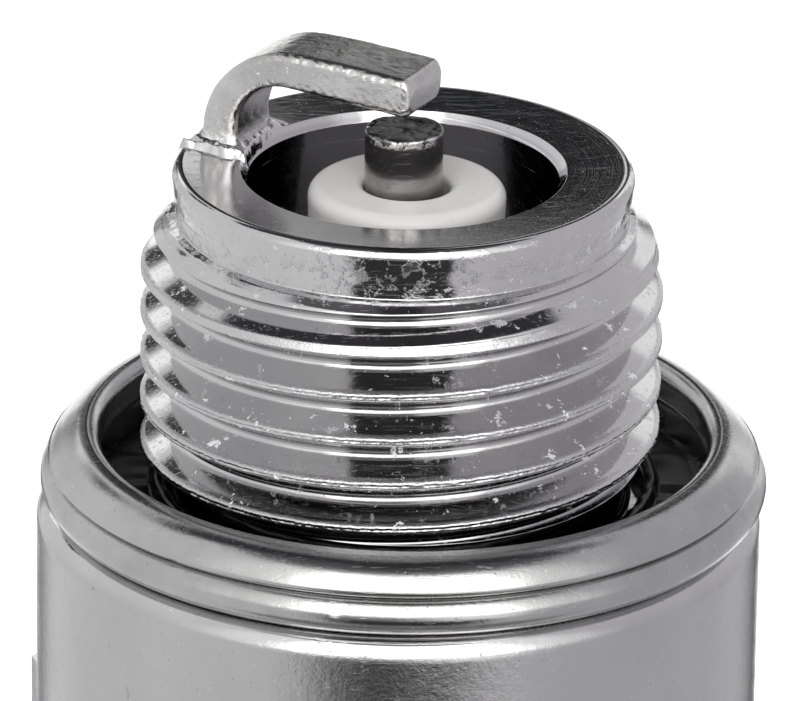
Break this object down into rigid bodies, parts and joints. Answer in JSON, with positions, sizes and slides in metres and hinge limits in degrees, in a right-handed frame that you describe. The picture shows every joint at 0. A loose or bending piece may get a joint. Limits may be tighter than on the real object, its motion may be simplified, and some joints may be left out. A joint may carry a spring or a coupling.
{
  "type": "spark plug",
  "caption": "Short-reach spark plug: threaded metal housing with hexagon, folded crush gasket, bent ground electrode over a centre electrode, porcelain insulator and barrel terminal.",
  "frame": {"origin": "centre of the gasket seating plane on the flange", "axes": "+Z along the plug axis toward the firing end, so the terminal end points down; X and Y across, with the flats of the hexagon turned 7 degrees from X"},
  "size_m": [0.0202, 0.0218, 0.0534],
  "materials": {
    "plated_steel": "bright nickel plate on turned and rolled steel",
    "nickel_alloy": "drawn nickel alloy bar, bent and hammered",
    "gasket_steel": "bright plated sheet, folded and rolled",
    "washer_steel": "soft steel, plain",
    "porcelain": "white alumina, unglazed nose and glazed outside",
    "nickel_alloy_dark": "drawn nickel alloy, darker oxide",
    "copper": "extruded copper core",
    "sealing_glass": "fired conductive glass and metal powder",
    "resistor_ceramic": "fired carbon and glass mix",
    "stud_steel": "zinc plated steel",
    "terminal_plate": "nickel plated turned barrel",
    "wire_steel": "drawn wire",
    "talc": "pressed powder"
  },
  "bodies": {
    "housing": {"shell": "plated_steel", "ground_electrode": "nickel_alloy", "inner_seat_washer": "washer_steel", "insulator": "porcelain", "center_electrode": "nickel_alloy_dark", "center_electrode_core": "copper", "lower_glass_seal": "sealing_glass", "resistor": "resistor_ceramic", "upper_glass_seal": "sealing_glass", "terminal_stud": "stud_steel", "lower_wire_ring": "wire_steel", "talc_fill": "talc", "upper_wire_ring": "wire_steel"},
    "gasket": {"crush_gasket": "gasket_steel"},
    "nut": {"terminal_nut": "terminal_plate"}
  },
  "joints": [
    {"name": "gasket_play", "type": "slide", "parent": "housing", "child": "gasket", "axis": [0, 0, 1], "range_m": [0, 0.0005]},
    {"name": "nut_removal", "type": "slide", "parent": "housing", "child": "nut", "axis": [0, 0, -1], "range_m": [0, 0.008]}
  ]
}
